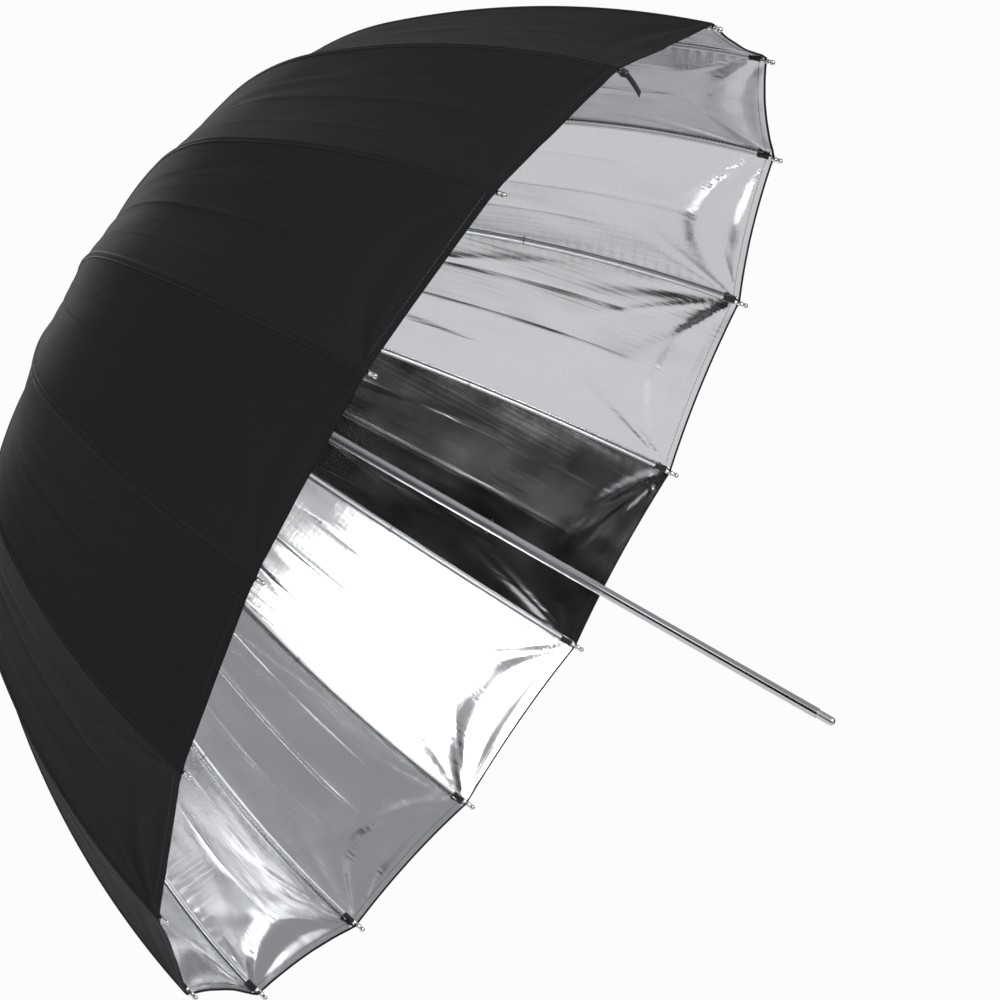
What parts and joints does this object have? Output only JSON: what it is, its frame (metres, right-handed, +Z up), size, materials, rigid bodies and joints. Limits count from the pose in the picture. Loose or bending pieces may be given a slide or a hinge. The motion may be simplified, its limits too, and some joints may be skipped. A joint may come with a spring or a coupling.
{
  "type": "umbrella reflector",
  "caption": "Deep folding umbrella reflector with a silver-lined black canopy on curved ribs and a slim steel shaft.",
  "frame": {"origin": "on the shaft axis at the middle of the grip stretch, where a bracket clamps the shaft", "axes": "+Y along the shaft towards the crown, with the open mouth facing -Y; +Z up, with one rib straight up; +X to the right seen from the mouth"},
  "size_m": [0.8504, 0.7004, 0.8504],
  "materials": {
    "steel": "polished",
    "plug": "satin",
    "hub": "moulded",
    "wire": "drawn",
    "ferrule": "moulded",
    "canopy": "coated ripstop, silver inside",
    "runner": "moulded",
    "catch": "spring steel",
    "rib": "plated",
    "rod": "satin",
    "strap": "woven tape"
  },
  "bodies": {
    "shaft": {"shaft_tube": "steel", "shaft_end_plug": "plug", "crown_hub": "hub", "crown_hub_pin": "wire", "crown_ring": "wire", "crown_ferrule": "ferrule", "canopy": "canopy", "runner_stop_pin": "wire"},
    "arm_01": {"rib_arm_01": "rib"},
    "rod_01": {"rib_rod_01": "rod"},
    "stretch_01": {"stretcher_01": "rib"},
    "arm_02": {"rib_arm_02": "rib"},
    "rod_02": {"rib_rod_02": "rod"},
    "stretch_02": {"stretcher_02": "rib"},
    "arm_03": {"rib_arm_03": "rib"},
    "rod_03": {"rib_rod_03": "rod"},
    "stretch_03": {"stretcher_03": "rib"},
    "arm_04": {"rib_arm_04": "rib"},
    "rod_04": {"rib_rod_04": "rod"},
    "stretch_04": {"stretcher_04": "rib"},
    "arm_05": {"rib_arm_05": "rib"},
    "rod_05": {"rib_rod_05": "rod"},
    "stretch_05": {"stretcher_05": "rib"},
    "arm_06": {"rib_arm_06": "rib"},
    "rod_06": {"rib_rod_06": "rod"},
    "stretch_06": {"stretcher_06": "rib"},
    "arm_07": {"rib_arm_07": "rib"},
    "rod_07": {"rib_rod_07": "rod"},
    "stretch_07": {"stretcher_07": "rib"},
    "arm_08": {"rib_arm_08": "rib"},
    "rod_08": {"rib_rod_08": "rod"},
    "stretch_08": {"stretcher_08": "rib"},
    "arm_09": {"rib_arm_09": "rib"},
    "rod_09": {"rib_rod_09": "rod"},
    "stretch_09": {"stretcher_09": "rib"},
    "arm_10": {"rib_arm_10": "rib"},
    "rod_10": {"rib_rod_10": "rod"},
    "stretch_10": {"stretcher_10": "rib"},
    "arm_11": {"rib_arm_11": "rib"},
    "rod_11": {"rib_rod_11": "rod"},
    "stretch_11": {"stretcher_11": "rib"},
    "arm_12": {"rib_arm_12": "rib"},
    "rod_12": {"rib_rod_12": "rod"},
    "stretch_12": {"stretcher_12": "rib"},
    "arm_13": {"rib_arm_13": "rib"},
    "rod_13": {"rib_rod_13": "rod"},
    "stretch_13": {"stretcher_13": "rib"},
    "arm_14": {"rib_arm_14": "rib"},
    "rod_14": {"rib_rod_14": "rod", "tie_strap": "strap"},
    "stretch_14": {"stretcher_14": "rib"},
    "arm_15": {"rib_arm_15": "rib"},
    "rod_15": {"rib_rod_15": "rod"},
    "stretch_15": {"stretcher_15": "rib"},
    "arm_16": {"rib_arm_16": "rib"},
    "rod_16": {"rib_rod_16": "rod"},
    "stretch_16": {"stretcher_16": "rib"},
    "runner": {"runner_sleeve": "runner", "runner_ring": "wire"},
    "catch": {"catch_spring": "catch"}
  },
  "joints": [
    {"name": "canopy_fold", "type": "hinge", "parent": "shaft", "child": "arm_01", "pos_m": [-0.013, 0.50337, 0], "axis": [0, 0, 1], "range_deg": [0, 69.32], "deforming": ["canopy"]},
    {"name": "rod_01_flex", "type": "hinge", "parent": "arm_01", "child": "rod_01", "pos_m": [-0.1716, 0.45885, 0], "axis": [0, 0, 1], "range_deg": [-30.12, 0]},
    {"name": "stretch_01_swing", "type": "hinge", "parent": "arm_01", "child": "stretch_01", "pos_m": [-0.1716, 0.45885, 0], "axis": [0, 0, 1], "range_deg": [-138.64, 0]},
    {"name": "arm_02_fold", "type": "hinge", "parent": "shaft", "child": "arm_02", "pos_m": [-0.01201, 0.50337, -0.00498], "axis": [-0.3827, 0, 0.9239], "range_deg": [0, 69.32]},
    {"name": "rod_02_flex", "type": "hinge", "parent": "arm_02", "child": "rod_02", "pos_m": [-0.15854, 0.45885, -0.06567], "axis": [-0.3827, 0, 0.9239], "range_deg": [-30.12, 0]},
    {"name": "stretch_02_swing", "type": "hinge", "parent": "arm_02", "child": "stretch_02", "pos_m": [-0.15854, 0.45885, -0.06567], "axis": [-0.3827, 0, 0.9239], "range_deg": [-138.64, 0]},
    {"name": "arm_03_fold", "type": "hinge", "parent": "shaft", "child": "arm_03", "pos_m": [-0.00919, 0.50337, -0.00919], "axis": [-0.7071, 0, 0.7071], "range_deg": [0, 69.32]},
    {"name": "rod_03_flex", "type": "hinge", "parent": "arm_03", "child": "rod_03", "pos_m": [-0.12134, 0.45885, -0.12134], "axis": [-0.7071, 0, 0.7071], "range_deg": [-30.12, 0]},
    {"name": "stretch_03_swing", "type": "hinge", "parent": "arm_03", "child": "stretch_03", "pos_m": [-0.12134, 0.45885, -0.12134], "axis": [-0.7071, 0, 0.7071], "range_deg": [-138.64, 0]},
    {"name": "arm_04_fold", "type": "hinge", "parent": "shaft", "child": "arm_04", "pos_m": [-0.00498, 0.50337, -0.01201], "axis": [-0.9239, 0, 0.3827], "range_deg": [0, 69.32]},
    {"name": "rod_04_flex", "type": "hinge", "parent": "arm_04", "child": "rod_04", "pos_m": [-0.06567, 0.45885, -0.15854], "axis": [-0.9239, 0, 0.3827], "range_deg": [-30.12, 0]},
    {"name": "stretch_04_swing", "type": "hinge", "parent": "arm_04", "child": "stretch_04", "pos_m": [-0.06567, 0.45885, -0.15854], "axis": [-0.9239, 0, 0.3827], "range_deg": [-138.64, 0]},
    {"name": "arm_05_fold", "type": "hinge", "parent": "shaft", "child": "arm_05", "pos_m": [0, 0.50337, -0.013], "axis": [-1, 0, 0], "range_deg": [0, 69.32]},
    {"name": "rod_05_flex", "type": "hinge", "parent": "arm_05", "child": "rod_05", "pos_m": [0, 0.45885, -0.1716], "axis": [-1, 0, 0], "range_deg": [-30.12, 0]},
    {"name": "stretch_05_swing", "type": "hinge", "parent": "arm_05", "child": "stretch_05", "pos_m": [0, 0.45885, -0.1716], "axis": [-1, 0, 0], "range_deg": [-138.64, 0]},
    {"name": "arm_06_fold", "type": "hinge", "parent": "shaft", "child": "arm_06", "pos_m": [0.00498, 0.50337, -0.01201], "axis": [-0.9239, 0, -0.3827], "range_deg": [0, 69.32]},
    {"name": "rod_06_flex", "type": "hinge", "parent": "arm_06", "child": "rod_06", "pos_m": [0.06567, 0.45885, -0.15854], "axis": [-0.9239, 0, -0.3827], "range_deg": [-30.12, 0]},
    {"name": "stretch_06_swing", "type": "hinge", "parent": "arm_06", "child": "stretch_06", "pos_m": [0.06567, 0.45885, -0.15854], "axis": [-0.9239, 0, -0.3827], "range_deg": [-138.64, 0]},
    {"name": "arm_07_fold", "type": "hinge", "parent": "shaft", "child": "arm_07", "pos_m": [0.00919, 0.50337, -0.00919], "axis": [-0.7071, 0, -0.7071], "range_deg": [0, 69.32]},
    {"name": "rod_07_flex", "type": "hinge", "parent": "arm_07", "child": "rod_07", "pos_m": [0.12134, 0.45885, -0.12134], "axis": [-0.7071, 0, -0.7071], "range_deg": [-30.12, 0]},
    {"name": "stretch_07_swing", "type": "hinge", "parent": "arm_07", "child": "stretch_07", "pos_m": [0.12134, 0.45885, -0.12134], "axis": [-0.7071, 0, -0.7071], "range_deg": [-138.64, 0]},
    {"name": "arm_08_fold", "type": "hinge", "parent": "shaft", "child": "arm_08", "pos_m": [0.01201, 0.50337, -0.00498], "axis": [-0.3827, 0, -0.9239], "range_deg": [0, 69.32]},
    {"name": "rod_08_flex", "type": "hinge", "parent": "arm_08", "child": "rod_08", "pos_m": [0.15854, 0.45885, -0.06567], "axis": [-0.3827, 0, -0.9239], "range_deg": [-30.12, 0]},
    {"name": "stretch_08_swing", "type": "hinge", "parent": "arm_08", "child": "stretch_08", "pos_m": [0.15854, 0.45885, -0.06567], "axis": [-0.3827, 0, -0.9239], "range_deg": [-138.64, 0]},
    {"name": "arm_09_fold", "type": "hinge", "parent": "shaft", "child": "arm_09", "pos_m": [0.013, 0.50337, 0], "axis": [0, 0, -1], "range_deg": [0, 69.32]},
    {"name": "rod_09_flex", "type": "hinge", "parent": "arm_09", "child": "rod_09", "pos_m": [0.1716, 0.45885, 0], "axis": [0, 0, -1], "range_deg": [-30.12, 0]},
    {"name": "stretch_09_swing", "type": "hinge", "parent": "arm_09", "child": "stretch_09", "pos_m": [0.1716, 0.45885, 0], "axis": [0, 0, -1], "range_deg": [-138.64, 0]},
    {"name": "arm_10_fold", "type": "hinge", "parent": "shaft", "child": "arm_10", "pos_m": [0.01201, 0.50337, 0.00498], "axis": [0.3827, 0, -0.9239], "range_deg": [0, 69.32]},
    {"name": "rod_10_flex", "type": "hinge", "parent": "arm_10", "child": "rod_10", "pos_m": [0.15854, 0.45885, 0.06567], "axis": [0.3827, 0, -0.9239], "range_deg": [-30.12, 0]},
    {"name": "stretch_10_swing", "type": "hinge", "parent": "arm_10", "child": "stretch_10", "pos_m": [0.15854, 0.45885, 0.06567], "axis": [0.3827, 0, -0.9239], "range_deg": [-138.64, 0]},
    {"name": "arm_11_fold", "type": "hinge", "parent": "shaft", "child": "arm_11", "pos_m": [0.00919, 0.50337, 0.00919], "axis": [0.7071, 0, -0.7071], "range_deg": [0, 69.32]},
    {"name": "rod_11_flex", "type": "hinge", "parent": "arm_11", "child": "rod_11", "pos_m": [0.12134, 0.45885, 0.12134], "axis": [0.7071, 0, -0.7071], "range_deg": [-30.12, 0]},
    {"name": "stretch_11_swing", "type": "hinge", "parent": "arm_11", "child": "stretch_11", "pos_m": [0.12134, 0.45885, 0.12134], "axis": [0.7071, 0, -0.7071], "range_deg": [-138.64, 0]},
    {"name": "arm_12_fold", "type": "hinge", "parent": "shaft", "child": "arm_12", "pos_m": [0.00498, 0.50337, 0.01201], "axis": [0.9239, 0, -0.3827], "range_deg": [0, 69.32]},
    {"name": "rod_12_flex", "type": "hinge", "parent": "arm_12", "child": "rod_12", "pos_m": [0.06567, 0.45885, 0.15854], "axis": [0.9239, 0, -0.3827], "range_deg": [-30.12, 0]},
    {"name": "stretch_12_swing", "type": "hinge", "parent": "arm_12", "child": "stretch_12", "pos_m": [0.06567, 0.45885, 0.15854], "axis": [0.9239, 0, -0.3827], "range_deg": [-138.64, 0]},
    {"name": "arm_13_fold", "type": "hinge", "parent": "shaft", "child": "arm_13", "pos_m": [0, 0.50337, 0.013], "axis": [1, 0, 0], "range_deg": [0, 69.32]},
    {"name": "rod_13_flex", "type": "hinge", "parent": "arm_13", "child": "rod_13", "pos_m": [0, 0.45885, 0.1716], "axis": [1, 0, 0], "range_deg": [-30.12, 0]},
    {"name": "stretch_13_swing", "type": "hinge", "parent": "arm_13", "child": "stretch_13", "pos_m": [0, 0.45885, 0.1716], "axis": [1, 0, 0], "range_deg": [-138.64, 0]},
    {"name": "arm_14_fold", "type": "hinge", "parent": "shaft", "child": "arm_14", "pos_m": [-0.00498, 0.50337, 0.01201], "axis": [0.9239, 0, 0.3827], "range_deg": [0, 69.32]},
    {"name": "rod_14_flex", "type": "hinge", "parent": "arm_14", "child": "rod_14", "pos_m": [-0.06567, 0.45885, 0.15854], "axis": [0.9239, 0, 0.3827], "range_deg": [-30.12, 0]},
    {"name": "stretch_14_swing", "type": "hinge", "parent": "arm_14", "child": "stretch_14", "pos_m": [-0.06567, 0.45885, 0.15854], "axis": [0.9239, 0, 0.3827], "range_deg": [-138.64, 0]},
    {"name": "arm_15_fold", "type": "hinge", "parent": "shaft", "child": "arm_15", "pos_m": [-0.00919, 0.50337, 0.00919], "axis": [0.7071, 0, 0.7071], "range_deg": [0, 69.32]},
    {"name": "rod_15_flex", "type": "hinge", "parent": "arm_15", "child": "rod_15", "pos_m": [-0.12134, 0.45885, 0.12134], "axis": [0.7071, 0, 0.7071], "range_deg": [-30.12, 0]},
    {"name": "stretch_15_swing", "type": "hinge", "parent": "arm_15", "child": "stretch_15", "pos_m": [-0.12134, 0.45885, 0.12134], "axis": [0.7071, 0, 0.7071], "range_deg": [-138.64, 0]},
    {"name": "arm_16_fold", "type": "hinge", "parent": "shaft", "child": "arm_16", "pos_m": [-0.01201, 0.50337, 0.00498], "axis": [0.3827, 0, 0.9239], "range_deg": [0, 69.32]},
    {"name": "rod_16_flex", "type": "hinge", "parent": "arm_16", "child": "rod_16", "pos_m": [-0.15854, 0.45885, 0.06567], "axis": [0.3827, 0, 0.9239], "range_deg": [-30.12, 0]},
    {"name": "stretch_16_swing", "type": "hinge", "parent": "arm_16", "child": "stretch_16", "pos_m": [-0.15854, 0.45885, 0.06567], "axis": [0.3827, 0, 0.9239], "range_deg": [-138.64, 0]},
    {"name": "runner_turn", "type": "hinge", "parent": "stretch_01", "child": "runner", "pos_m": [-0.013, 0.41432, 0], "axis": [0, 0, 1], "range_deg": [0, 69.32]},
    {"name": "catch_press", "type": "hinge", "parent": "shaft", "child": "catch", "pos_m": [0.00035, 0.34113, -0.00177], "axis": [0.9808, 0, 0.1951], "range_deg": [0, 5], "stiffness_Nm_per_rad": 0.02, "springref_deg": -11.46}
  ],
  "couplings": [
    {"joint": "rod_01_flex", "follows": "canopy_fold", "ratio": -0.4345},
    {"joint": "stretch_01_swing", "follows": "canopy_fold", "ratio": -2},
    {"joint": "arm_02_fold", "follows": "canopy_fold", "ratio": 1},
    {"joint": "rod_02_flex", "follows": "canopy_fold", "ratio": -0.4345},
    {"joint": "stretch_02_swing", "follows": "canopy_fold", "ratio": -2},
    {"joint": "arm_03_fold", "follows": "canopy_fold", "ratio": 1},
    {"joint": "rod_03_flex", "follows": "canopy_fold", "ratio": -0.4345},
    {"joint": "stretch_03_swing", "follows": "canopy_fold", "ratio": -2},
    {"joint": "arm_04_fold", "follows": "canopy_fold", "ratio": 1},
    {"joint": "rod_04_flex", "follows": "canopy_fold", "ratio": -0.4345},
    {"joint": "stretch_04_swing", "follows": "canopy_fold", "ratio": -2},
    {"joint": "arm_05_fold", "follows": "canopy_fold", "ratio": 1},
    {"joint": "rod_05_flex", "follows": "canopy_fold", "ratio": -0.4345},
    {"joint": "stretch_05_swing", "follows": "canopy_fold", "ratio": -2},
    {"joint": "arm_06_fold", "follows": "canopy_fold", "ratio": 1},
    {"joint": "rod_06_flex", "follows": "canopy_fold", "ratio": -0.4345},
    {"joint": "stretch_06_swing", "follows": "canopy_fold", "ratio": -2},
    {"joint": "arm_07_fold", "follows": "canopy_fold", "ratio": 1},
    {"joint": "rod_07_flex", "follows": "canopy_fold", "ratio": -0.4345},
    {"joint": "stretch_07_swing", "follows": "canopy_fold", "ratio": -2},
    {"joint": "arm_08_fold", "follows": "canopy_fold", "ratio": 1},
    {"joint": "rod_08_flex", "follows": "canopy_fold", "ratio": -0.4345},
    {"joint": "stretch_08_swing", "follows": "canopy_fold", "ratio": -2},
    {"joint": "arm_09_fold", "follows": "canopy_fold", "ratio": 1},
    {"joint": "rod_09_flex", "follows": "canopy_fold", "ratio": -0.4345},
    {"joint": "stretch_09_swing", "follows": "canopy_fold", "ratio": -2},
    {"joint": "arm_10_fold", "follows": "canopy_fold", "ratio": 1},
    {"joint": "rod_10_flex", "follows": "canopy_fold", "ratio": -0.4345},
    {"joint": "stretch_10_swing", "follows": "canopy_fold", "ratio": -2},
    {"joint": "arm_11_fold", "follows": "canopy_fold", "ratio": 1},
    {"joint": "rod_11_flex", "follows": "canopy_fold", "ratio": -0.4345},
    {"joint": "stretch_11_swing", "follows": "canopy_fold", "ratio": -2},
    {"joint": "arm_12_fold", "follows": "canopy_fold", "ratio": 1},
    {"joint": "rod_12_flex", "follows": "canopy_fold", "ratio": -0.4345},
    {"joint": "stretch_12_swing", "follows": "canopy_fold", "ratio": -2},
    {"joint": "arm_13_fold", "follows": "canopy_fold", "ratio": 1},
    {"joint": "rod_13_flex", "follows": "canopy_fold", "ratio": -0.4345},
    {"joint": "stretch_13_swing", "follows": "canopy_fold", "ratio": -2},
    {"joint": "arm_14_fold", "follows": "canopy_fold", "ratio": 1},
    {"joint": "rod_14_flex", "follows": "canopy_fold", "ratio": -0.4345},
    {"joint": "stretch_14_swing", "follows": "canopy_fold", "ratio": -2},
    {"joint": "arm_15_fold", "follows": "canopy_fold", "ratio": 1},
    {"joint": "rod_15_flex", "follows": "canopy_fold", "ratio": -0.4345},
    {"joint": "stretch_15_swing", "follows": "canopy_fold", "ratio": -2},
    {"joint": "arm_16_fold", "follows": "canopy_fold", "ratio": 1},
    {"joint": "rod_16_flex", "follows": "canopy_fold", "ratio": -0.4345},
    {"joint": "stretch_16_swing", "follows": "canopy_fold", "ratio": -2},
    {"joint": "runner_turn", "follows": "canopy_fold", "ratio": 1}
  ]
}
